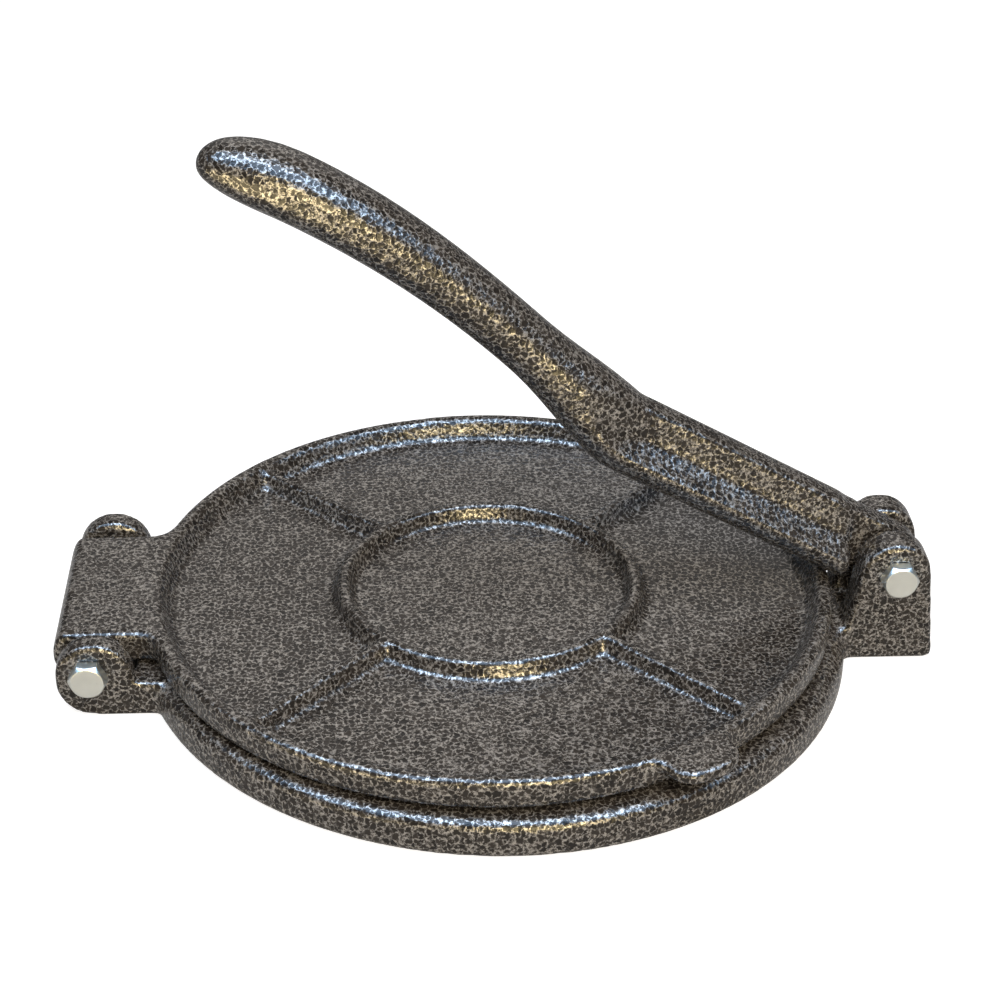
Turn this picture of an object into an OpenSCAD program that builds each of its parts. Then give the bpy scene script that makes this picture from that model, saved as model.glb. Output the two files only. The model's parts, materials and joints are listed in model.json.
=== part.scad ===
// Cast-iron tortilla press: round base, hinged upper plate and pressing lever.
// Origin: centre of the base disc on the surface it stands on.
// +X points to the lever clevis, -X to the plate hinge, +Z up. Both hinge axes lie along Y.

/* [Base disc] */
// Diameter of the base disc
base_d = 210; // [190:1:240]
// Height of the base's flat pressing face
base_h = 11.4; // [9:0.1:16]
// Radius of the shoulder around the pressing face
shoulder_r = 6; // [3:0.5:7]
// Thickness of the base's floor above its underside hollow
base_floor = 4.6; // [3:0.1:7]
// Width of the foot ring that the base stands on
foot_w = 8; // [5:0.5:14]
// Diameter of the boss in the middle of the underside hollow
boss_d = 40; // [20:1:70]

/* [Upper plate] */
// Diameter of the upper plate
plate_d = 203; // [183:1:230]
// Height of the upper plate's rim above its pressing face
plate_t = 9.6; // [8:0.1:14]
// Thickness of the upper plate's floor
plate_floor = 2.8; // [2.4:0.1:4.5]
// Width of the rim at its top
rim_w = 4.6; // [3:0.1:8]
// How far the plate's centre lies towards its hinge
plate_shift = 1.5; // [0:0.1:3]
// Angle by which the closed plate rises from its hinge
plate_tilt = 0.7; // [0:0.1:1.4]
// Mean radius of the circular rib
ring_r = 43.6; // [30:0.1:60]
// Width of the ribs at their top
rib_w = 3.4; // [3:0.1:7]
// Height of the ribs above the plate's floor
rib_h = 5.6; // [2:0.1:6.4]
// Number of radial ribs
rib_count = 4; // [3:1:8]
// Width of the thumb tab
thumb_w = 21.4; // [16:0.1:30]
// How far the thumb tab stands out from the rim
thumb_out = 10.9; // [7:0.1:14]
// Thickness of the thumb tab
thumb_t = 4; // [3:0.1:7]
// Direction of the thumb tab from +X
thumb_angle = -61; // [-75:1:-35]

/* [Plate hinge] */
// Distance of the hinge bolt from the base disc's edge
hinge_out = 12; // [10:0.1:13.5]
// Height of the hinge bolt
hinge_z = 13.9; // [13.4:0.1:16]
// Clearance between the hinge barrel and the base disc's edge
barrel_gap = 0.8; // [0.4:0.1:2]
// Width of the upper plate's hinge tab
tab_w = 55; // [40:1:70]
// Side clearance between the hinge tab and each lug
lug_gap = 2.4; // [0.5:0.1:4]
// Thickness of each hinge lug
lug_t = 7.4; // [5:0.1:12]
// Outer radius of each hinge lug
lug_r = 11; // [9:0.1:12]
// Height of the hinge lugs
lug_h = 23.9; // [23:0.1:27]
// How far the arms that carry the lugs lie below the pressing face
arm_step = 0.5; // [0:0.1:3]

/* [Lever clevis] */
// Distance of the lever bolt from the base disc's edge
pivot_out = 12.8; // [12:0.1:18]
// Height of the lever bolt
pivot_z = 29; // [27:0.1:34]
// Thickness of each clevis ear
ear_t = 10.7; // [6:0.1:14]
// Radius of the round top of each ear
ear_r = 10.4; // [9:0.1:12]
// How much further out the ears reach at their foot
ear_draft = 3.2; // [0:0.1:6]
// How much nearer to the plate the ears reach at the pressing face
ear_flare = 2.9; // [0:0.1:3.2]

/* [Lever] */
// Angle of the lever's body above the table, at rest on the rim
lever_rest = 28.5; // [20:0.1:34]
// Width of the lever's tongue between the ears
tongue_w = 8; // [6:0.1:12]
// Side clearance between the tongue and each ear
tongue_gap = 1.3; // [0.3:0.1:3]
// Radius of the tongue's eye
eye_r = 8.5; // [7:0.1:10]
// Clearance between the body's shoulder and the ears' round tops
shoulder_gap = 2.4; // [0.6:0.1:5]
// Distance from the lever bolt to the knee
knee_at = 92; // [80:1:105]
// Distance from the lever bolt to the neck
neck_at = 131; // [120:1:150]
// Distance from the lever bolt to the middle of the grip
grip_at = 206; // [180:1:212]
// Distance from the lever bolt to the tip
lever_len = 235.3; // [228:0.1:260]
// How far the grip stands above the line of the body
grip_rise = 21.9; // [10:0.1:40]
// How far the tip of the grip curves back down
tip_fall = 4.9; // [0:0.1:8]
// Thickness of the lever's body at the shoulder
body_t = 22.4; // [18:0.1:26]
// Thickness of the lever at the knee
knee_t = 22.8; // [18:0.1:28]
// Thickness of the lever at the neck
neck_t = 16.7; // [12:0.1:22]
// Thickness of the lever at the grip
grip_t = 18.6; // [14:0.1:26]
// Width of the lever for each millimetre of thickness
lever_oval = 1.2; // [1:0.05:1.4]
// Width of the web along the top of the body
web_w = 9.4; // [8:0.1:16]
// Height of the web's foot above the middle of the body
web_foot = 2.6; // [-2:0.1:6]

/* [Fasteners] */
// Thread diameter of both bolts
bolt_d = 6; // [5:0.5:8]
// Width across the flats of bolt heads and nuts
hex_af = 10; // [8:0.5:13]
// Height of the bolt heads
head_h = 4; // [3:0.1:6]
// Height of the nuts
nut_h = 5; // [4:0.1:7]
// Thickness of the spring lock washers
washer_t = 1.6; // [1:0.1:2.5]
// How far each bolt stands out of its nut
bolt_end = 1.8; // [0.5:0.1:6]

/* [Fits] */
// Gap between pieces that rest on each other
seat = 0.3; // [0.1:0.05:0.6]
// Radial clearance of a bolt in its bores
bore_gap = 0.07; // [0.02:0.01:0.1]

/* [Hidden] */
iron = "#3d3a37";
zinc = "#b9bdc2";
$fn = 64;
// overlap that joins two shapes of one casting
lap = 0.02;

base_r = base_d / 2;
hinge_x = -base_r - hinge_out;
pivot_x = base_r + pivot_out;
bore_r = bolt_d / 2 + bore_gap;

// upper plate, drawn level and closed; upper_plate() then lifts it by plate_tilt
plate_r = plate_d / 2;
plate_z = base_h + seat;
plate_top = plate_z + plate_t;
floor_z = plate_z + plate_floor;
rim_in = plate_r - rim_w;
rim_lean = 26;
low_round = 2.2;
rim_round = 1.6;
rim_fillet = 2;
rib_draft = 1;
rib_fillet = 1.6;
rib_round = 0.9;
// how far the radial ribs stay below the circular one
rib_step = 0.2;
tab_fillet = 7;
thumb_corner = 3.5;
thumb_fillet = 4;
// how far a fillet's column reaches into the wall that it runs out on
bite = 0.05;

// plate hinge
barrel_r = hinge_out - barrel_gap;
arm_h = base_h - arm_step;
lug_in = tab_w / 2 + lug_gap;
lug_out = lug_in + lug_t;
lug_back = 1.4;
web_step = 0.4;
lug_x = hinge_x + lug_back;

// lever clevis
ear_in = tongue_w / 2 + tongue_gap;
ear_out = ear_in + ear_t;
ear_back = 0.5;
ear_x = pivot_x - ear_back;
ear_low = -0.1;
ear_z = pivot_z - ear_low;
ear_foot = 1.5;
web_back = 3;
arm_root = 14;
root_fillet = 3;

// lever: x runs from the bolt along the body and z is square to it, before lever_rest turns it
rim_edge = [plate_r - plate_shift - rim_round, plate_top - rim_round];
touch = turned(rim_edge - [hinge_x, hinge_z], plate_tilt) + [hinge_x, hinge_z] - [pivot_x, pivot_z];
under_body = -touch * [sin(lever_rest), cos(lever_rest)] - rim_round - seat;
body_drop = under_body - body_t / 2;
shoulder_face = ear_r + ear_back + shoulder_gap;
shoulder_at = (shoulder_face - body_drop * sin(lever_rest)) / cos(lever_rest);
lean_l = 30;
rise_lead = 1.5;
rise_from = knee_at + rise_lead;
rise_to = grip_at - rise_lead;
heel_l = 3.5;
heel_flat = 0.75;
tip_l = 25.8;
tip_flat = 0.03;
slope_half = 6;
tip_power = 2.3;
section_power = 2.2;
body_steps = 33;
end_steps = 7;
ring_steps = 32;
// the web's foot spreads over web_spread and the web fades out around the knee
web_spread = 6.2;
web_flare = 1.2;
web_fade = [knee_at - 10, knee_at + 26];

// fasteners
hex_bevel = 0.6;
bevel_reach = 1.6;
thread_gap = 0.03;
end_bevel = 0.8;
washer_r = bolt_d / 2 + 2.9;
washer_split = 1.2;
split_angle = 20;

function turned(p, a) = [p[0] * cos(a) - p[1] * sin(a), p[0] * sin(a) + p[1] * cos(a)];
function arc(c, r, from, to, n = 8) =
    [for (i = [0:n]) let (a = from + (to - from) * i / n) c + r * [cos(a), sin(a)]];
function ease(t) = (1 - cos(180 * min(max(t, 0), 1))) / 2;
function between(a, b, t) = a + (b - a) * ease(t);

// ---------- shared shapes ----------
module across(width) {
    translate([0, width / 2, 0]) rotate([90, 0, 0]) linear_extrude(width) children();
}

module mirrored_pair(inner, outer) {
    for (side = [-1, 1]) translate([0, side * (inner + outer) / 2, 0]) across(outer - inner) children();
}

module cross_bore(x, z, reach) {
    translate([x, reach, z]) rotate([90, 0, 0]) cylinder(r = bore_r, h = 2 * reach);
}

// centre, in plan, of a fillet between a disc of radius r and a wall along +X at y
function fillet_centre(r, fillet, y) =
    [sqrt(pow(r + fillet - bite, 2) - pow(y + fillet, 2)), y + fillet];

// that fillet's solid corner
module corner_fillet(r, fillet, y) {
    c = fillet_centre(r, fillet, y);
    meet = c * r / (r + fillet);
    inside = fillet / 3;
    difference() {
        polygon([[c[0], y - inside], [meet[0] - inside, y - inside], meet - [inside, 0], meet, c]);
        translate(c) circle(r = fillet);
    }
}

// ---------- base ----------
module disc_profile() {
    foot_edge = 1.2;
    foot_draft = 1.5;
    hollow_z = base_h - base_floor;
    polygon(concat(
        [[0, base_h]],
        arc([base_r - shoulder_r, base_h - shoulder_r], shoulder_r, 90, 0),
        arc([base_r - foot_edge, foot_edge], foot_edge, 0, -90, 3),
        [[base_r - foot_w, 0], [base_r - foot_w - foot_draft, hollow_z], [0, hollow_z]]));
}

module underside_ribs() {
    web_t = 5;
    web_z = 1.5;
    height = base_h - base_floor - web_z + lap;
    reach = base_r - foot_w / 2;
    translate([0, 0, web_z]) cylinder(d = boss_d, h = height);
    for (turn = [45, 135]) rotate([0, 0, turn]) translate([-reach, -web_t / 2, web_z])
        cube([2 * reach, web_t, height]);
}

module lug_outline() {
    top_z = lug_h - lug_r;
    polygon(concat(
        arc([lug_x, lug_r], lug_r, 270, 180, 12),
        arc([lug_x, top_z], lug_r, 180, -asin((top_z - arm_h) / lug_r), 24),
        [[arm_root - base_r, arm_h], [arm_root - base_r, 0]]));
}

// fills between the lugs' arms up to the hinge barrel
module hinge_web() {
    translate([web_step - base_r, -lug_in - lap, 0]) cube([arm_root - web_step, 2 * (lug_in + lap), arm_h]);
}

module ear_outline() {
    foot_x = ear_x + ear_r + ear_draft;
    left = ear_x - ear_r - ear_flare;
    ledge_z = base_h - arm_step;
    lean = atan(ear_draft / (ear_z - ear_foot));
    flare = atan(ear_flare / (ear_z - ledge_z));
    polygon(concat(
        arc([ear_x, ear_z], ear_r, 180 - flare, lean, 22),
        arc([foot_x - ear_foot, ear_foot], ear_foot, 0, -90, 4),
        [[base_r - arm_root, 0], [base_r - arm_root, ledge_z], [left, ledge_z]]));
}

module clevis_web() {
    translate([base_r - arm_root, -ear_in - lap, 0])
        cube([ear_x + ear_r + ear_draft - web_back - base_r + arm_root, 2 * (ear_in + lap), base_h]);
}

module base_plate() {
    color(iron) difference() {
        union() {
            rotate_extrude() disc_profile();
            underside_ribs();
            mirrored_pair(lug_in, lug_out) lug_outline();
            hinge_web();
            mirrored_pair(ear_in, ear_out) ear_outline();
            clevis_web();
            for (side = [0, 1]) mirror([0, side, 0]) linear_extrude(base_h - shoulder_r)
                corner_fillet(base_r, root_fillet, ear_out);
        }
        cross_bore(hinge_x, hinge_z, lug_out + lug_t);
        cross_bore(pivot_x, pivot_z, ear_out + ear_t);
    }
}

// ---------- upper plate ----------
// centre of a fillet between a floor and a wall that leans away from it, from the wall's foot
function foot_fillet(r, lean) = [r * tan(45 - lean / 2), r];

module plate_profile() {
    top = [rim_in + rim_round, plate_top - rim_round];
    wall = top + rim_round * [-cos(rim_lean), sin(rim_lean)];
    foot = wall - (wall[1] - floor_z) * [tan(rim_lean), 1];
    reach = foot_fillet(rim_fillet, rim_lean);
    polygon(concat(
        [[0, plate_z]],
        arc([plate_r - low_round, plate_z + low_round], low_round, -90, 0, 3),
        arc([plate_r - rim_round, plate_top - rim_round], rim_round, 0, 90, 3),
        arc(top, rim_round, 90, 180 - rim_lean, 3),
        arc(foot + [-reach[0], reach[1]], rim_fillet, -rim_lean, -90, 3),
        [[0, floor_z]]));
}

module rib_section(height) {
    lean = atan(rib_draft / height);
    foot = [rib_w / 2 + rib_draft, 0];
    reach = foot_fillet(rib_fillet, lean);
    half = concat(
        [[foot[0] + reach[0], -lap]],
        arc(foot + reach, rib_fillet, 270, 180 + lean, 2),
        arc([rib_w / 2 - rib_round, height - rib_round], rib_round, lean, 90, 2));
    polygon(concat(half, [for (i = [len(half) - 1:-1:0]) [-half[i][0], half[i][1]]]));
}

module ribs() {
    translate([0, 0, floor_z]) {
        rotate_extrude() translate([ring_r, 0]) rib_section(rib_h);
        for (i = [0:rib_count - 1]) rotate([0, 0, 45 + i * 360 / rib_count]) translate([ring_r, 0, 0])
            rotate([90, 0, 90]) linear_extrude(rim_in + rim_round - ring_r) rib_section(rib_h - rib_step);
    }
}

module thumb_tab() {
    corner = thumb_w / 2 - thumb_corner;
    reach = plate_r + thumb_out;
    root = rim_in + rim_round;
    side_y = thumb_w / 2;
    c = fillet_centre(plate_r, thumb_fillet, side_y);
    half = concat(
        arc([reach - corner, side_y - corner], corner, 0, 90, 8),
        arc(c, thumb_fillet, 270, 180 + atan(c[1] / c[0]), 5),
        [[root, c[1]]]);
    rotate([0, 0, thumb_angle]) translate([0, 0, plate_top - thumb_t]) linear_extrude(thumb_t)
        for (side = [0, 1]) mirror([0, side]) polygon(concat([[root, -lap], [reach, -lap]], half));
}

// side view of the hinge tab, about the hinge bolt
module tab_outline() {
    over = plate_top - hinge_z;
    under = hinge_z - plate_z;
    root = plate_shift + hinge_out + base_r - plate_r;
    polygon(concat(
        arc([0, 0], barrel_r, 180 - asin(over / barrel_r), 360 - asin(under / barrel_r), 28),
        [[root + arm_root, -under], [root + arm_root, over]]));
}

module hinge_tab_fillet() {
    translate([0, 0, plate_z + low_round]) linear_extrude(plate_t - low_round)
        mirror([1, 0]) corner_fillet(plate_r, tab_fillet, tab_w / 2);
}

module hinge_tab() {
    difference() {
        union() {
            translate([hinge_x + plate_shift, 0, hinge_z]) across(tab_w) tab_outline();
            for (side = [0, 1]) mirror([0, side, 0]) hinge_tab_fillet();
        }
        cylinder(r = rim_in + rim_round, h = 2 * plate_top);
    }
}

module upper_plate() {
    color(iron) translate([hinge_x, 0, hinge_z]) rotate([0, -plate_tilt, 0])
        translate([-hinge_x, 0, -hinge_z]) difference() {
            translate([-plate_shift, 0, 0]) {
                rotate_extrude() plate_profile();
                ribs();
                thumb_tab();
                hinge_tab();
            }
            cross_bore(hinge_x, hinge_z, tab_w);
        }
}

// ---------- lever ----------
function thickness(x) =
    x < knee_at ? between(body_t, knee_t, (x - shoulder_at) / (knee_at - shoulder_at))
    : x < neck_at ? between(knee_t, neck_t, (x - knee_at) / (neck_at - knee_at))
    : between(neck_t, grip_t, (x - neck_at) / (grip_at - neck_at));

function share(x, from, to) = min(max((x - from) / (to - from), 0), 1);

function spine_z(x) =
    grip_rise * sin(90 * share(x, rise_from, rise_to)) - tip_fall * pow(share(x, grip_at, lever_len), 2)
    - body_drop;

function slope(x) = atan((spine_z(x + slope_half) - spine_z(x - slope_half)) / (2 * slope_half));

// sections stand upright at the shoulder and turn square to the body over lean_l
function lean(x) = slope(x) - lever_rest * (1 - ease((x - shoulder_at) / lean_l));

function end_scale(x) =
    x < shoulder_at + heel_l
    ? heel_flat + (1 - heel_flat) * sqrt(1 - pow(1 - (x - shoulder_at) / heel_l, 2))
    : x > lever_len - tip_l
    ? max(pow(1 - pow((x - lever_len + tip_l) / tip_l, tip_power), 1 / tip_power), tip_flat)
    : 1;

// half the width that the web leaves at height h above the body's middle
function web_half(h, half, wide) =
    let (web = web_w / 2, spread = web_flare * share(h, half, web_foot))
    web + spread + max(wide - web - spread, 0) * ease((web_foot - h) / web_spread);

function section(x) =
    let (half = end_scale(x) * thickness(x) / 2, wide = half * lever_oval,
         stretch = 1 / cos(lean(x) - slope(x)), fade = ease(share(x, web_fade[0], web_fade[1])))
    [for (i = [0:ring_steps - 1])
        let (a = 360 * i / ring_steps, c = cos(a), s = sin(a),
             oval = wide * pow(abs(c), 2 / section_power),
             h = half * sign(s) * pow(abs(s), 2 / section_power),
             narrow = min(oval, web_half(h, half, wide)),
             y = sign(c) * (narrow + (oval - narrow) * fade))
        [x - h * stretch * sin(lean(x)), y, spine_z(x) + h * stretch * cos(lean(x))]];

module loft(rings) {
    n = ring_steps;
    last = len(rings) - 1;
    polyhedron(
        points = [for (ring = rings) each ring],
        faces = concat(
            [[for (i = [0:n - 1]) i]],
            [for (k = [0:last - 1], i = [0:n - 1]) let (a = k * n, j = (i + 1) % n)
                [a + i, a + n + i, a + n + j, a + j]],
            [[for (i = [n - 1:-1:0]) last * n + i]]));
}

module lever_body() {
    heel_end = shoulder_at + heel_l;
    tip_start = lever_len - tip_l;
    stations = concat(
        [for (i = [0:end_steps - 1]) shoulder_at + heel_l * (1 - cos(90 * i / end_steps))],
        [for (i = [0:body_steps]) heel_end + (tip_start - heel_end) * i / body_steps],
        [for (i = [1:end_steps]) tip_start + tip_l * sin(90 * i / end_steps)]);
    loft([for (x = stations) section(x)]);
}

module tongue() {
    root = shoulder_at + 3 * heel_l;
    across(tongue_w) polygon(concat(
        arc([0, 0], eye_r, 90, 270, 28),
        [[root, -eye_r], [root, eye_r]]));
}

module lever_handle() {
    color(iron) translate([pivot_x, 0, pivot_z]) rotate([0, lever_rest, 0]) mirror([1, 0, 0])
        difference() {
            union() {
                lever_body();
                tongue();
            }
            cross_bore(0, 0, tongue_w);
        }
}

// ---------- fasteners, drawn along +Z from the face they bear on ----------
module bevelled_hex(h, low_bevel) {
    corner_r = hex_af / 2 / cos(30);
    intersection() {
        cylinder(r = corner_r, h = h, $fn = 6);
        rotate_extrude() polygon([
            [0, 0], [corner_r - low_bevel * bevel_reach, 0], [corner_r, low_bevel],
            [corner_r, h - hex_bevel], [corner_r - hex_bevel * bevel_reach, h], [0, h]]);
    }
}

module bolt(grip_l) {
    shank_l = grip_l + washer_t + nut_h + bolt_end;
    color(zinc) {
        mirror([0, 0, 1]) bevelled_hex(head_h, 0);
        rotate_extrude() polygon([
            [0, -lap], [bolt_d / 2, -lap], [bolt_d / 2, shank_l - end_bevel],
            [bolt_d / 2 - end_bevel, shank_l], [0, shank_l]]);
    }
}

module lock_washer() {
    color(zinc) difference() {
        cylinder(r = washer_r, h = washer_t);
        translate([0, 0, -washer_t]) cylinder(r = bore_r, h = 3 * washer_t);
        translate([0, 0, washer_t / 2]) rotate([split_angle, 0, 0])
            translate([0, -washer_split / 2, -2 * washer_t])
                cube([2 * washer_r, washer_split, 4 * washer_t]);
    }
}

module nut() {
    color(zinc) difference() {
        bevelled_hex(nut_h, hex_bevel);
        translate([0, 0, -nut_h]) cylinder(r = bolt_d / 2 + thread_gap, h = 3 * nut_h);
    }
}

// puts a fastener on a cross bolt's axis, bearing at y
module on_axis(x, z, y) {
    translate([x, y, z]) rotate([-90, 0, 0]) children();
}

module hinge_bolt() {
    on_axis(hinge_x, hinge_z, -lug_out) bolt(2 * lug_out);
}

module hinge_lock_washer() {
    on_axis(hinge_x, hinge_z, lug_out) lock_washer();
}

module hinge_nut() {
    on_axis(hinge_x, hinge_z, lug_out + washer_t) nut();
}

module lever_bolt() {
    on_axis(pivot_x, pivot_z, -ear_out) bolt(2 * ear_out);
}

module lever_lock_washer() {
    on_axis(pivot_x, pivot_z, ear_out) lock_washer();
}

module lever_nut() {
    on_axis(pivot_x, pivot_z, ear_out + washer_t) nut();
}

base_plate();
upper_plate();
lever_handle();
hinge_bolt();
hinge_lock_washer();
hinge_nut();
lever_bolt();
lever_lock_washer();
lever_nut();
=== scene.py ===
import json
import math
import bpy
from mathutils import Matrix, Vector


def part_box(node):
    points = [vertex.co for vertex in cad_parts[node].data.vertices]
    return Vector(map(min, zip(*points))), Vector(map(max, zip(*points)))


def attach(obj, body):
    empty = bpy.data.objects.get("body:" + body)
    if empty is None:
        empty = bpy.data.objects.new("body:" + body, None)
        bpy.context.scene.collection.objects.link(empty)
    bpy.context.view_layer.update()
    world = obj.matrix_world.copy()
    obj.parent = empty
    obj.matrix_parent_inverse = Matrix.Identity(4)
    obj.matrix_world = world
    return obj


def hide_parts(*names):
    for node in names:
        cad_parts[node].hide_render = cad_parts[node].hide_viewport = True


bl_info = {
    "name": "Cast Iron Tortilla Press",
    "version": (1, 0, 0),
    "blender": (4, 5, 0),
    "location": "View3D > Sidebar > Press",
    "description": "Dresses the press's solids as painted castings with zinc-plated bolts",
    "category": "Object",
}

import bmesh
import bpy
from bpy.props import FloatProperty, FloatVectorProperty, IntProperty, PointerProperty
from mathutils import Matrix, Vector

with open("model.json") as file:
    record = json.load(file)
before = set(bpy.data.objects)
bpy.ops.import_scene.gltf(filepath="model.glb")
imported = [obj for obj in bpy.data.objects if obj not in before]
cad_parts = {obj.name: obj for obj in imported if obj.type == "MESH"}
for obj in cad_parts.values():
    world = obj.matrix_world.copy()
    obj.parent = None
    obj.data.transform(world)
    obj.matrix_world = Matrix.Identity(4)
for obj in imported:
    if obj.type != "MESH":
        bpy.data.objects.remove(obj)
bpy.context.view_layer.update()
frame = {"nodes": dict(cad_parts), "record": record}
HINGES = {j["name"]: Vector(j["pos_m"]) for j in frame["record"]["behaviour"]["joints"]}


# ------------------------------------------------------------------ settings


class PressCastings(bpy.types.PropertyGroup):
    grain: FloatProperty(
        name="Grain",
        description="Size of the mesh cells of a casting",
        default=0.0009,
        unit="LENGTH",
    )
    fine_grain: FloatProperty(
        name="Fine grain",
        description="Size of the mesh cells of the lever",
        default=0.0008,
        unit="LENGTH",
    )
    softening: IntProperty(
        name="Softening",
        description="Passes that round a casting's edges and corners",
        default=7,
    )
    bore_radius: FloatProperty(
        name="Bore radius",
        description="Radius of the cross bores",
        default=0.00307,
        unit="LENGTH",
    )
    shoulder: FloatProperty(
        name="Shoulder",
        description="Reach of the base's shoulder",
        default=0.006,
        unit="LENGTH",
    )
    face: FloatProperty(
        name="Face height",
        description="Height of the base's pressing face",
        default=0.0114,
        unit="LENGTH",
    )
    squareness: FloatProperty(
        name="Squareness",
        description="Power of the shoulder's superellipse; 2 leaves it round",
        default=3.4,
    )
    triangles: IntProperty(
        name="Triangles",
        description="Most triangles in one casting",
        default=180000,
    )


class PressPaint(bpy.types.PropertyGroup):
    cell: FloatProperty(
        name="Cell size",
        description="Spacing of the dark cells in the hammered paint",
        default=0.0018,
        unit="LENGTH",
    )
    spread: FloatProperty(
        name="Cell radius",
        description="Radius of a dark cell, as a share of the spacing",
        default=0.86,
        min=0.0,
        max=1.0,
        subtype="FACTOR",
    )
    vein: FloatProperty(
        name="Vein",
        description="Width of the veins between cells, as a share of the spacing",
        default=0.145,
        min=0.0,
        max=1.0,
        subtype="FACTOR",
    )
    blur: FloatProperty(
        name="Cell edge",
        description="Softness of a cell's edge, as a share of the spacing",
        default=0.13,
        min=0.0,
        max=1.0,
        subtype="FACTOR",
    )
    ragged: FloatProperty(
        name="Raggedness",
        description="How far the veins break up",
        default=0.42,
        min=0.0,
        max=1.0,
        subtype="FACTOR",
    )
    dark: FloatVectorProperty(
        name="Cell colour",
        description="Colour of the dark cells",
        default=(0.0215, 0.0188, 0.0168),
        subtype="COLOR",
    )
    light: FloatVectorProperty(
        name="Flake colour",
        description="Colour of the pale flakes",
        default=(0.355, 0.338, 0.320),
        subtype="COLOR",
    )
    flake: FloatProperty(
        name="Flake share",
        description="How metallic the pale flakes are",
        default=0.65,
        min=0.0,
        max=1.0,
        subtype="FACTOR",
    )
    relief: FloatProperty(
        name="Relief",
        description="Depth of the hammered relief",
        default=0.0003,
        unit="LENGTH",
    )
    roughness: FloatProperty(
        name="Roughness",
        description="Roughness of the paint's flakes",
        default=0.3,
        min=0.0,
        max=1.0,
        subtype="FACTOR",
    )
    gloss: FloatProperty(
        name="Gloss",
        description="Strength of the clear top gloss",
        default=0.32,
        min=0.0,
        max=1.0,
        subtype="FACTOR",
    )


class PressZinc(bpy.types.PropertyGroup):
    colour: FloatVectorProperty(
        name="Zinc colour",
        description="Colour of the plated steel",
        default=(0.90, 0.91, 0.85),
        subtype="COLOR",
    )
    roughness: FloatProperty(
        name="Roughness",
        description="Roughness of the plating",
        default=0.3,
        min=0.0,
        max=1.0,
        subtype="FACTOR",
    )
    grain: FloatProperty(
        name="Grain",
        description="Size of the mesh cells of a fastener",
        default=0.00018,
        unit="LENGTH",
    )
    softening: IntProperty(
        name="Softening",
        description="Passes that round a fastener's edges",
        default=7,
    )
    pitch: FloatProperty(
        name="Thread pitch",
        description="Pitch of the bolts' threads",
        default=0.001,
        unit="LENGTH",
    )
    thread_depth: FloatProperty(
        name="Thread depth",
        description="Depth of the bolts' threads",
        default=0.0005,
        unit="LENGTH",
    )
    face_radius: FloatProperty(
        name="Face radius",
        description="Radius of the flat face of a bolt's head",
        default=0.0046,
        unit="LENGTH",
    )
    shank_radius: FloatProperty(
        name="Shank radius",
        description="Radius of the bolts' shanks",
        default=0.003,
        unit="LENGTH",
    )


class PressStudio(bpy.types.PropertyGroup):
    floor: FloatVectorProperty(
        name="Floor colour",
        description="Colour of the floor",
        default=(0.45, 0.45, 0.45),
        subtype="COLOR",
    )
    overhead: FloatProperty(
        name="Overhead",
        description="Power of the cool overhead light",
        default=12.0,
        unit="POWER",
    )
    lamp: FloatProperty(
        name="Lamp",
        description="Power of the warm lamp in front",
        default=10.2,
        unit="POWER",
    )
    strip: FloatProperty(
        name="Strip",
        description="Power of the cool strip that shows in the gloss",
        default=51.0,
        unit="POWER",
    )
    sheen: FloatProperty(
        name="Sheen",
        description="Power of the warm card that shows in the gloss",
        default=10.0,
        unit="POWER",
    )
    backdrop: FloatProperty(
        name="Backdrop",
        description="Power of the pale card behind that shows in the gloss",
        default=1.6,
        unit="POWER",
    )
    board: FloatProperty(
        name="Board",
        description="Power of the warm board on the floor that shows in the gloss",
        default=9.0,
        unit="POWER",
    )
    world: FloatProperty(
        name="World",
        description="Strength of the pale surroundings",
        default=0.05,
        min=0.0,
        max=1.0,
        subtype="FACTOR",
    )
    mirror: FloatProperty(
        name="Mirror",
        description="Share of the surroundings' white that shows in gloss",
        default=0.08,
        min=0.0,
        max=1.0,
        subtype="FACTOR",
    )
    glow: FloatProperty(
        name="Floor glow",
        description="White that the camera sees in the floor",
        default=0.85,
        min=0.0,
        max=1.0,
        subtype="FACTOR",
    )
    lens: FloatProperty(
        name="Lens",
        description="Focal length of the camera, in millimetres",
        default=78.95,
        unit="CAMERA",
    )


# ------------------------------------------------------------------ nodes


def new_material(name):
    """A new material with its node tree and its Principled shader."""
    mat = bpy.data.materials.new(name)
    mat.use_nodes = True
    return mat, mat.node_tree, mat.node_tree.nodes["Principled BSDF"]


def put(tree, socket, value):
    """Sets a socket, or links it where the value is another node's socket."""
    if isinstance(value, bpy.types.NodeSocket):
        tree.links.new(value, socket)
    else:
        socket.default_value = value


def fill(tree, node, **values):
    """Sets a node's attributes, or its sockets where a key is a socket's name."""
    for key, value in values.items():
        if hasattr(node, key):
            setattr(node, key, value)
        else:
            put(tree, node.inputs[key.replace("_", " ")], value)
    return node


def add(tree, kind, **values):
    """Adds a node and fills in its attributes and sockets."""
    return fill(tree, tree.nodes.new(kind), **values)


def coordinates(tree):
    """The place on the object, in metres."""
    return add(tree, "ShaderNodeTexCoord").outputs["Object"]


def noise(tree, place, scale, detail=2.0, roughness=0.5):
    """A noise texture with that many features in a metre."""
    return add(tree, "ShaderNodeTexNoise", Vector=place, Scale=scale, Detail=detail, Roughness=roughness)


def maths(tree, operation, *values, clamp=False):
    """The result of a Math node."""
    node = add(tree, "ShaderNodeMath", operation=operation, use_clamp=clamp)
    for socket, value in zip(node.inputs, values):
        put(tree, socket, value)
    return node.outputs["Value"]


def vector_maths(tree, operation, *values):
    """The outputs of a Vector Math node."""
    node = add(tree, "ShaderNodeVectorMath", operation=operation)
    for socket, value in zip(node.inputs, values):
        put(tree, socket, value)
    return node.outputs


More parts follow.
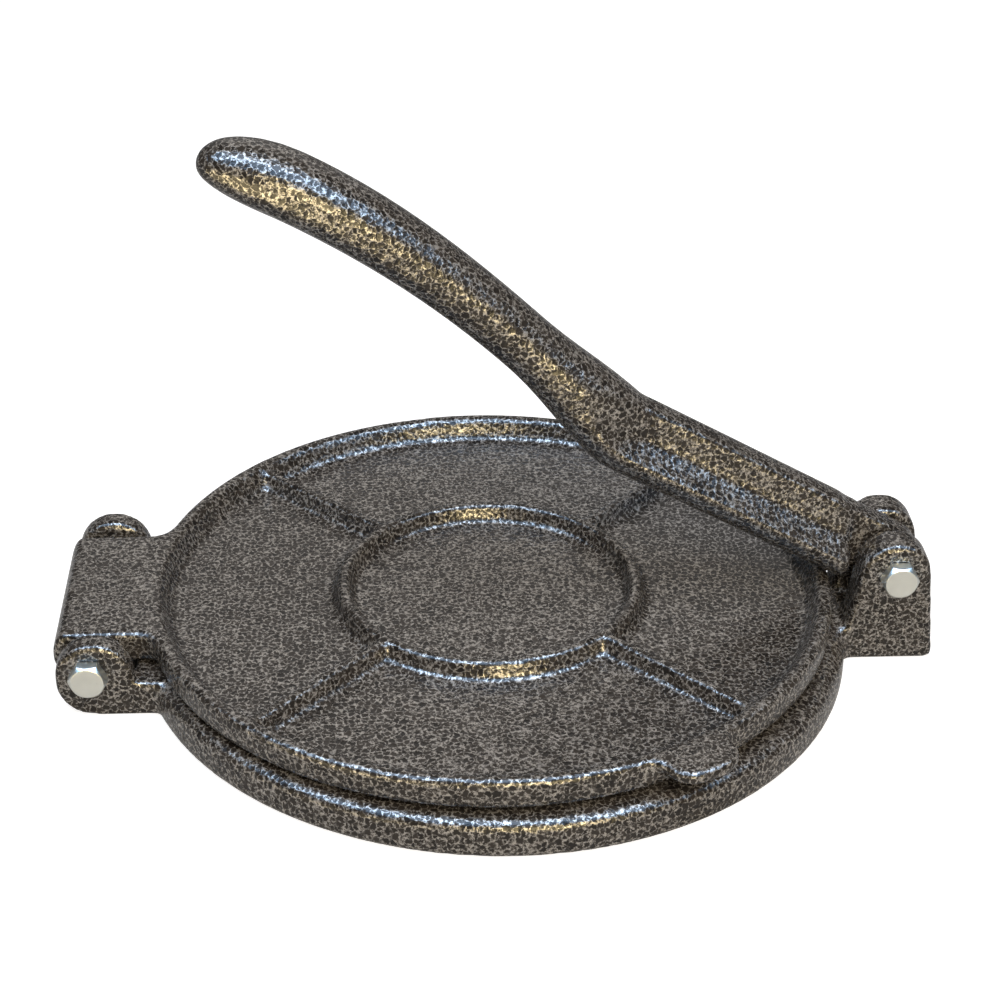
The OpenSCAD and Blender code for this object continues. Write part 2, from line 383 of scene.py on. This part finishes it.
def mapped(tree, value, source=(0.0, 1.0), target=(0.0, 1.0), smooth=False):
    """A value taken from one range to another, and held at its ends."""
    node = add(
        tree,
        "ShaderNodeMapRange",
        interpolation_type="SMOOTHSTEP" if smooth else "LINEAR",
        Value=value,
        From_Min=source[0],
        From_Max=source[1],
        To_Min=target[0],
        To_Max=target[1],
    )
    return node.outputs["Result"]


# where a Mix node keeps its colours, behind the sockets for numbers and vectors
SHARE, FIRST_COLOUR, SECOND_COLOUR = 0, 6, 7
MIXED_COLOUR = 2


def mixed(tree, share, first, second):
    """A mix of two colours, by the share of the second."""
    node = add(tree, "ShaderNodeMix", data_type="RGBA")
    put(tree, node.inputs[SHARE], share)
    put(tree, node.inputs[FIRST_COLOUR], first)
    put(tree, node.inputs[SECOND_COLOUR], second)
    return node.outputs[MIXED_COLOUR]


WHITE = (1, 1, 1, 1)


def shade(colour, times=1):
    """An opaque colour that is that many times as bright."""
    return (*[times * c for c in colour], 1)


# ------------------------------------------------------------------ materials


def wandering(tree, coords, cell):
    """The place on the object, pushed about so that the cells' outlines bend slowly and fray finely."""
    middle = (0.5, 0.5, 0.5)
    reach = (0.9 * cell,) * 3
    bends, fraying = 0.7 / cell, 2.2 / cell
    place = coords
    for scale in (bends, fraying):
        warp = noise(tree, coords, scale, roughness=0.6).outputs["Color"]
        push = vector_maths(tree, "SUBTRACT", warp, middle)["Vector"]
        place = vector_maths(tree, "MULTIPLY_ADD", push, reach, place)["Vector"]
    return place


def cell_texture(tree, place, cell, feature):
    """A Voronoi texture with one of its points for each cell of the paint."""
    return add(
        tree,
        "ShaderNodeTexVoronoi",
        feature=feature,
        Vector=place,
        Scale=1 / cell,
        Randomness=0.85,
    )


def nooks(tree, paint, cells, patches):
    """1 in the nooks between the round cells and 0 inside them, where some patches have smaller cells."""
    swell = 0.5
    radius = swell / 2 + paint.spread
    outward = maths(tree, "MULTIPLY_ADD", patches, swell, cells.outputs["Distance"])
    return mapped(tree, outward, source=(radius - paint.blur, radius + paint.blur), smooth=True)


def veins(tree, paint, place, grain, patches):
    """Nearly 1 along the lines where cells meet, torn by the grain, and wider in some patches."""
    edges = cell_texture(tree, place, paint.cell, "DISTANCE_TO_EDGE").outputs["Distance"]
    tear = maths(tree, "MULTIPLY_ADD", grain, -paint.ragged, edges)
    torn = maths(tree, "ADD", tear, 0.5 * paint.ragged)
    narrow, wide = 0.6 * paint.vein, 1.4 * paint.vein
    width = mapped(tree, patches, source=(0.3, 0.7), target=(narrow, wide))
    crest = 0.85
    return mapped(tree, torn, source=(0.0, width), target=(crest, 0.0), smooth=True)


def paint_colour(tree, paint, net, grain, cells):
    """The cells, each of its own darkness, in a net that goes from dull to bright with the grain."""
    dull, bright = shade(paint.light, 0.4), shade(paint.light, 1.5)
    flakes = mapped(tree, grain, source=(0.33, 0.67), smooth=True)
    pale = mixed(tree, flakes, dull, bright)
    deepest, palest = shade(paint.dark, 0.6), shade(paint.dark, 1.8)
    draw = add(tree, "ShaderNodeSeparateColor", Color=cells.outputs["Color"]).outputs["Red"]
    dark = mixed(tree, draw, deepest, palest)
    return mixed(tree, net, dark, pale)


def paint_relief(tree, paint, coords, cells):
    """The normal of a surface that is dented at each cell and rolls in wider waves."""
    wave_height = 1.6
    waves = noise(tree, coords, 0.28 / paint.cell).outputs["Fac"]
    height = maths(tree, "MULTIPLY_ADD", waves, wave_height, cells.outputs["Distance"])
    return add(tree, "ShaderNodeBump", Strength=0.5, Distance=paint.relief, Height=height).outputs["Normal"]


def hammered_paint():
    """Gloss paint that has drawn into dark round cells in a net of pale metallic flakes."""
    paint = bpy.context.scene.press_paint
    mat, tree, shader = new_material("hammered_paint")
    coords = coordinates(tree)
    place = wandering(tree, coords, paint.cell)
    cells = cell_texture(tree, place, paint.cell, "F1")
    patches = noise(tree, coords, 0.3 / paint.cell).outputs["Fac"]
    grain = noise(tree, coords, 1.7 / paint.cell, detail=3.0, roughness=0.65).outputs["Fac"]
    between = nooks(tree, paint, cells, patches)
    along = veins(tree, paint, place, grain, patches)
    net = maths(tree, "MAXIMUM", between, along)
    normal = paint_relief(tree, paint, coords, cells)
    smoother = 0.08
    fill(
        tree,
        shader,
        Base_Color=paint_colour(tree, paint, net, grain, cells),
        Metallic=mapped(tree, net, target=(0.0, paint.flake)),
        Roughness=mapped(tree, net, target=(paint.roughness - smoother, paint.roughness)),
        Specular_IOR_Level=0.16,
        Coat_Weight=paint.gloss,
        Coat_Roughness=0.1,
        Normal=normal,
        Coat_Normal=normal,
    )
    return mat


def zinc_plate():
    """Bright plating with a fine grain and faint clouds."""
    zinc = bpy.context.scene.press_zinc
    mat, tree, shader = new_material("zinc_plate")
    coords = coordinates(tree)
    grain = noise(tree, coords, 900.0, detail=4.0, roughness=0.6).outputs["Fac"]
    clouds = noise(tree, coords, 220.0).outputs["Fac"]
    dimmed = shade(zinc.colour, 0.82)
    smoother, rougher = 0.08, 0.12
    bump = add(tree, "ShaderNodeBump", Strength=0.35, Distance=0.00004, Height=grain)
    fill(
        tree,
        shader,
        Base_Color=mixed(tree, clouds, dimmed, shade(zinc.colour)),
        Metallic=1.0,
        Roughness=mapped(tree, grain, target=(zinc.roughness - smoother, zinc.roughness + rougher)),
        Normal=bump.outputs["Normal"],
    )
    return mat


FINISHES = {"iron": hammered_paint, "zinc": zinc_plate}


def finish(slot):
    """The material for a slot, made once."""
    make = FINISHES[slot]
    return bpy.data.materials.get(make.__name__) or make()


# ------------------------------------------------------------------ pieces


# a solid's vertices that lie nearer than this become one, so that its faces close
WELD = 0.000002

# how far past a bore's radius, in mesh cells, a vertex is still of the bore's wall
BORE_WALL = 1.2

# the lugs and the ears meet the base's rim within this half width, and the full shoulder comes in beside them
ARMS_HALF_WIDTH = 0.042
SHOULDER_FADE = 0.018

# how much wider the cone around a bolt head's face gets for its depth
FACE_SLOPE = 0.9

# how near to the shank's radius a vertex lies that the thread moves
SHANK_BAND = 0.0002


def placed(name, bm):
    """A new object in the scene with the bmesh as its mesh."""
    mesh = bpy.data.meshes.new(name)
    bm.to_mesh(mesh)
    bm.free()
    obj = bpy.data.objects.new(name, mesh)
    bpy.context.scene.collection.objects.link(obj)
    return obj


def piece(name, bm, slot, body, *stands_for):
    """Turns a bmesh into a piece that rides on a body."""
    obj = placed(name, bm)
    obj.data.materials.append(finish(slot))
    obj.data.shade_smooth()
    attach(obj, body)
    if stands_for:
        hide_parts(*stands_for)


def evaluated(obj):
    """The object's mesh with its modifiers applied, as a bmesh, and the object removed."""
    bm = bmesh.new()
    bm.from_object(obj, bpy.context.evaluated_depsgraph_get())
    mesh = obj.data
    bpy.data.objects.remove(obj)
    bpy.data.meshes.remove(mesh)
    return bm


def blank(node):
    """A closed copy of a node's solid."""
    bm = bmesh.new()
    bm.from_mesh(frame["nodes"][node].data)
    bmesh.ops.remove_doubles(bm, verts=bm.verts, dist=WELD)
    return placed(node + "_blank", bm)


def smooth(bm, passes):
    """Draws every vertex towards its neighbours."""
    for _ in range(passes):
        bmesh.ops.smooth_vert(
            bm,
            verts=bm.verts,
            factor=0.5,
            use_axis_x=True,
            use_axis_y=True,
            use_axis_z=True,
        )


def soften(node, grain, passes):
    """A node's solid with its edges and corners rounded off."""
    obj = blank(node)
    remesh = obj.modifiers.new("grain", "REMESH")
    remesh.mode = "VOXEL"
    remesh.voxel_size = grain
    bm = evaluated(obj)
    smooth(bm, passes)
    return bm


def thinned(bm, name, most):
    """The mesh with at most that many triangles."""
    triangles = sum(len(f.verts) - 2 for f in bm.faces)
    if triangles <= most:
        return bm
    obj = placed(name + "_thin", bm)
    obj.modifiers.new("thin", "DECIMATE").ratio = most / triangles
    return evaluated(obj)


def from_axis(place, axis):
    """The way to a place from a cross axis, square to it."""
    return Vector((place.x - axis.x, 0, place.z - axis.z))


def cast(node, grain, hinges):
    """A node's solid as cast iron comes out of the mould, with soft edges and corners and true bores."""
    castings = bpy.context.scene.press_castings
    bm = soften(node, grain, castings.softening)
    for hinge in hinges:
        for v in bm.verts:
            out = from_axis(v.co, hinge)
            if out.length < castings.bore_radius + BORE_WALL * grain:
                v.co += out.normalized() * (castings.bore_radius - out.length)
    return thinned(bm, node, castings.triangles)


def square_shoulder(bm, rim):
    """Fills out the round shoulder of the base's front and back, from a circle's arc to a superellipse's."""
    castings = bpy.context.scene.press_castings
    size = castings.shoulder
    inner = rim - size
    low = castings.face - size
    for v in bm.verts:
        out = Vector((v.co.x, v.co.y, 0))
        x = (out.length - inner) / size
        z = (v.co.z - low) / size
        away = min(max((abs(v.co.y) - ARMS_HALF_WIDTH) / SHOULDER_FADE, 0), 1)
        if x <= 0 or z <= 0 or away == 0:
            continue
        power = 2 + away * (castings.squareness - 2)
        full = math.hypot(x, z) / (x**power + z**power) ** (1 / power)
        v.co += out.normalized() * size * x * (full - 1)
        v.co.z += size * z * (full - 1)


class PRESS_OT_base(bpy.types.Operator):
    """Cast the base with its lugs and ears"""

    bl_idname = "press.base"
    bl_label = "Base"

    def execute(self, context):
        bm = cast("base_plate", context.scene.press_castings.grain, HINGES.values())
        square_shoulder(bm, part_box("base_plate")[1][1])
        piece("base_casting", bm, "iron", "base", "base_plate")
        return {"FINISHED"}


class PRESS_OT_plate(bpy.types.Operator):
    """Cast the upper plate with its rim, ribs and tabs"""

    bl_idname = "press.plate"
    bl_label = "Upper plate"

    def execute(self, context):
        bm = cast("upper_plate", context.scene.press_castings.grain, [HINGES["plate_hinge"]])
        piece("plate_casting", bm, "iron", "plate", "upper_plate")
        return {"FINISHED"}


class PRESS_OT_lever(bpy.types.Operator):
    """Cast the lever with its tongue, knee and grip"""

    bl_idname = "press.lever"
    bl_label = "Lever"

    def execute(self, context):
        bm = cast("lever_handle", context.scene.press_castings.fine_grain, [HINGES["lever_pivot"]])
        piece("lever_casting", bm, "iron", "lever", "lever_handle")
        return {"FINISHED"}


def round_head(bm, axis, top):
    """Turns the corners of a bolt's head back to a cone around its flat face."""
    zinc = bpy.context.scene.press_zinc
    for v in bm.verts:
        out = from_axis(v.co, axis)
        limit = zinc.face_radius + FACE_SLOPE * (v.co.y - top)
        if out.length > limit:
            v.co += out.normalized() * (limit - out.length)


def cut_thread(bm, axis, start):
    """Draws the last length of a bolt's shank into a screw thread about its cross axis."""
    zinc = bpy.context.scene.press_zinc
    least, most = zinc.shank_radius - SHANK_BAND, zinc.shank_radius + SHANK_BAND
    for v in bm.verts:
        out = from_axis(v.co, axis)
        if v.co.y > start and least < out.length < most:
            turn = math.atan2(out.z, out.x) / (2 * math.pi)
            phase = (v.co.y / zinc.pitch - turn) % 1
            v.co -= out.normalized() * zinc.thread_depth * (0.5 - 0.5 * math.cos(2 * math.pi * phase))


class PRESS_OT_fasteners(bpy.types.Operator):
    """Forge the bolts, nuts and spring washers"""

    bl_idname = "press.fasteners"
    bl_label = "Fasteners"

    def execute(self, context):
        zinc = context.scene.press_zinc
        for name, joint in (("hinge", "plate_hinge"), ("lever", "lever_pivot")):
            for kind in ("bolt", "lock_washer", "nut"):
                node = f"{name}_{kind}"
                bm = soften(node, zinc.grain, 0 if kind == "bolt" else zinc.softening)
                if kind == "bolt":
                    round_head(bm, HINGES[joint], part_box(node)[0][1])
                    smooth(bm, zinc.softening)
                    cut_thread(bm, HINGES[joint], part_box(f"{name}_lock_washer")[0][1])
                piece(f"{node}_plated", bm, "zinc", "base", node)
        return {"FINISHED"}


# ------------------------------------------------------------------ stage


# the point of the press that the lights face
MIDDLE = Vector((0, 0, 0.04))

# half the floor's side
FLOOR_REACH = 6.0

# painted shade: the small spot under the press, seen between its castings, where the floor doesn't glow and
# so shows dark, and the radii over which the glow comes back around it
PAINTED_SHADE_SPOT = (-0.107, -0.0111, 0)
PAINTED_SHADE_EDGE = (0.0033, 0.0048)

# where the camera stands, the ways to its back and level to its right, and its roll from there
CAMERA_PLACE = Vector((-0.0367, -0.5525, 0.3713))
CAMERA_BACK = Vector((-0.0589, -0.8615, 0.5044))
CAMERA_LEVEL = Vector((0.9977, -0.0682, 0.0))
CAMERA_ROLL = math.radians(1.16)
SENSOR_WIDTH = 36.0


def aimed(azimuth, elevation, distance):
    """Where a light stands at a direction and a distance from the press, facing it with its width level."""
    a, e = math.radians(azimuth), math.radians(elevation)
    to_light = Vector((math.cos(e) * math.cos(a), math.cos(e) * math.sin(a), math.sin(e)))
    turn = to_light.to_track_quat("Z", "Y").to_matrix().to_4x4()
    return Matrix.Translation(to_light * distance + MIDDLE) @ turn


def lying(x, y, clearance=0.002):
    """Where a light lies just above the floor, facing up."""
    return Matrix.Translation((x, y, clearance)) @ Matrix.Rotation(math.pi, 4, "X")


# each light has its power in the studio's setting of the same name, lights matte surfaces and shows in gloss,
# unless it says otherwise; it is aimed from degrees around the press, degrees up and metres away
LIGHTS = {
    "overhead": dict(place=aimed(-95, 80, 1.3), size=(1.6, 0.8), colour=(0.95, 0.96, 1.0)),
    "lamp": dict(place=aimed(-80, 38, 1.2), size=(0.8, 0.5), colour=(1.0, 0.84, 0.62), gloss=False),
    "strip": dict(place=aimed(-95, 70, 1.3), size=(2.6, 0.9), colour=(0.36, 0.63, 1.0), matte=False),
    "sheen": dict(place=aimed(-79, 15, 1.2), size=(0.5, 0.55), colour=(1.0, 0.80, 0.42), matte=False),
    "backdrop": dict(place=aimed(88, 32, 1.5), size=(1.2, 0.7), colour=(1.0, 0.97, 0.94), matte=False),
    "board": dict(place=lying(-0.37, -0.5), size=(0.6, 0.66), colour=(1.0, 0.80, 0.42), matte=False),
}


def area_light(name, power, place, size, colour, matte=True, gloss=True):
    """A rectangular light that the camera doesn't see."""
    data = bpy.data.lights.new(name, "AREA")
    data.shape = "RECTANGLE"
    data.size, data.size_y = size
    data.energy = power
    data.color = colour
    obj = bpy.data.objects.new(name, data)
    bpy.context.scene.collection.objects.link(obj)
    obj.visible_diffuse = matte
    obj.visible_glossy = gloss
    obj.visible_camera = False
    obj.matrix_world = place


def shown(tree, mirror):
    """A socket that is 1 where the camera sees the surroundings, and less on rays through gloss and glass."""
    path = add(tree, "ShaderNodeLightPath")
    total = path.outputs["Is Camera Ray"]
    for name in ("Is Glossy Ray", "Is Transmission Ray"):
        total = maths(tree, "MULTIPLY_ADD", path.outputs[name], mirror, total, clamp=True)
    return total


def pale_floor(studio):
    """A dull floor that glows nearly white for the camera, but for one small spot of painted shade under the
    hinge.
    """
    mat, tree, shader = new_material("pale_floor")
    glow = maths(tree, "MULTIPLY", shown(tree, studio.mirror), studio.glow)
    # painted shade: the glow fades out towards the spot under the hinge, so the floor seen through the gap
    # shows dark
    away = vector_maths(tree, "DISTANCE", coordinates(tree), PAINTED_SHADE_SPOT)["Value"]
    fill(
        tree,
        shader,
        Base_Color=shade(studio.floor),
        Roughness=0.9,
        Emission_Color=WHITE,
        Emission_Strength=maths(tree, "MULTIPLY", glow, mapped(tree, away, source=PAINTED_SHADE_EDGE, smooth=True)),
    )
    return mat


def lay_floor(studio):
    """The floor under the press."""
    bm = bmesh.new()
    bmesh.ops.create_grid(bm, x_segments=1, y_segments=1, size=FLOOR_REACH)
    floor = placed("floor", bm)
    floor.data.materials.append(pale_floor(studio))


def surround(scene, studio):
    """Surroundings that are white to the camera and give the press a little light."""
    world = bpy.data.worlds.new("surroundings")
    scene.world = world
    world.use_nodes = True
    tree = world.node_tree
    strength = mapped(tree, shown(tree, studio.mirror), target=(studio.world, 1.0))
    fill(tree, tree.nodes["Background"], Color=WHITE, Strength=strength)


def set_camera(scene, lens):
    """The camera, turned away from its back, and level but for its roll."""
    data = bpy.data.cameras.new("camera")
    data.lens = lens
    data.sensor_width = SENSOR_WIDTH
    camera = bpy.data.objects.new("camera", data)
    scene.collection.objects.link(camera)
    scene.camera = camera
    back = CAMERA_BACK.normalized()
    level = CAMERA_LEVEL.normalized()
    right = math.cos(CAMERA_ROLL) * level + math.sin(CAMERA_ROLL) * back.cross(level)
    up = back.cross(right)
    turn = Matrix((right, up, back)).transposed().to_4x4()
    camera.matrix_world = Matrix.Translation(CAMERA_PLACE) @ turn


class PRESS_OT_stage(bpy.types.Operator):
    """Set up the floor, the surroundings, the lights and the camera"""

    bl_idname = "press.stage"
    bl_label = "Stage"

    def execute(self, context):
        studio = context.scene.press_studio
        lay_floor(studio)
        surround(context.scene, studio)
        for name, settings in LIGHTS.items():
            area_light(name, getattr(studio, name), **settings)
        set_camera(context.scene, studio.lens)
        context.scene.view_settings.view_transform = "Standard"
        return {"FINISHED"}


# ------------------------------------------------------------------ add-on


GROUPS = {
    "press_castings": PressCastings,
    "press_paint": PressPaint,
    "press_zinc": PressZinc,
    "press_studio": PressStudio,
}
OPERATORS = (PRESS_OT_stage, PRESS_OT_base, PRESS_OT_plate, PRESS_OT_lever, PRESS_OT_fasteners)


class PRESS_PT_sidebar(bpy.types.Panel):
    bl_idname = "PRESS_PT_sidebar"
    bl_label = "Tortilla press"
    bl_space_type = "VIEW_3D"
    bl_region_type = "UI"
    bl_category = "Press"

    def draw(self, context):
        for name in GROUPS:
            box = self.layout.box()
            group = getattr(context.scene, name)
            for key in group.bl_rna.properties.keys():
                if key not in ("rna_type", "name"):
                    box.prop(group, key)
        for operator in OPERATORS:
            self.layout.operator(operator.bl_idname)


def register():
    for name, group in GROUPS.items():
        bpy.utils.register_class(group)
        setattr(bpy.types.Scene, name, PointerProperty(type=group))
    for cls in (*OPERATORS, PRESS_PT_sidebar):
        bpy.utils.register_class(cls)


def unregister():
    for cls in reversed((*OPERATORS, PRESS_PT_sidebar)):
        bpy.utils.unregister_class(cls)
    for name, group in reversed(GROUPS.items()):
        delattr(bpy.types.Scene, name)
        bpy.utils.unregister_class(group)


def main():
    """Dresses the press."""
    register()
    bpy.ops.press.stage()
    bpy.ops.press.base()
    bpy.ops.press.plate()
    bpy.ops.press.lever()
    bpy.ops.press.fasteners()


if __name__ == "__main__":
    main()
